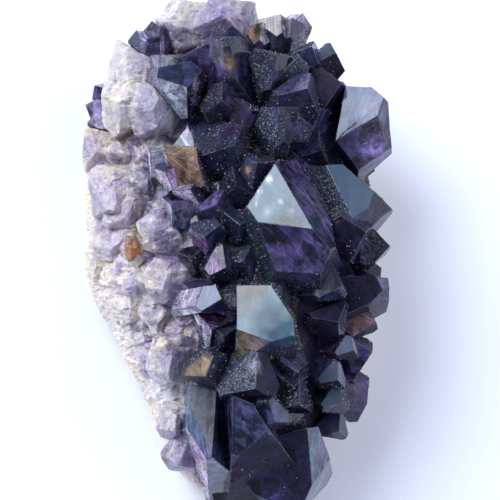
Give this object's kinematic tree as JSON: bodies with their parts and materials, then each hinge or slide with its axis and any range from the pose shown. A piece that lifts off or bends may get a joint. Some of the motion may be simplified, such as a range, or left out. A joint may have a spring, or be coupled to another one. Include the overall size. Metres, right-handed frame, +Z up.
{
  "type": "amethyst crystal cluster",
  "caption": "Loose amethyst specimen: a crust of dark violet quartz points on a pale broken matrix, cut flat underneath to rest on.",
  "frame": {"origin": "middle of the flat cut underside, on the surface the specimen rests on", "axes": "+Z up, +Y along the specimen towards its broad upper end, +X towards the side where the points stand out furthest"},
  "size_m": [0.07, 0.1208, 0.046],
  "materials": {
    "pale_quartz": "broken, granular, part glassy",
    "dark_amethyst": "polished crystal faces, some with fine glittering druse",
    "lilac_amethyst": "glassy, paler"
  },
  "bodies": {
    "root": {"matrix_rock": "pale_quartz", "amethyst_druse": "dark_amethyst", "left_rim_points": "lilac_amethyst", "upper_rim_points": "lilac_amethyst"}
  },
  "joints": []
}
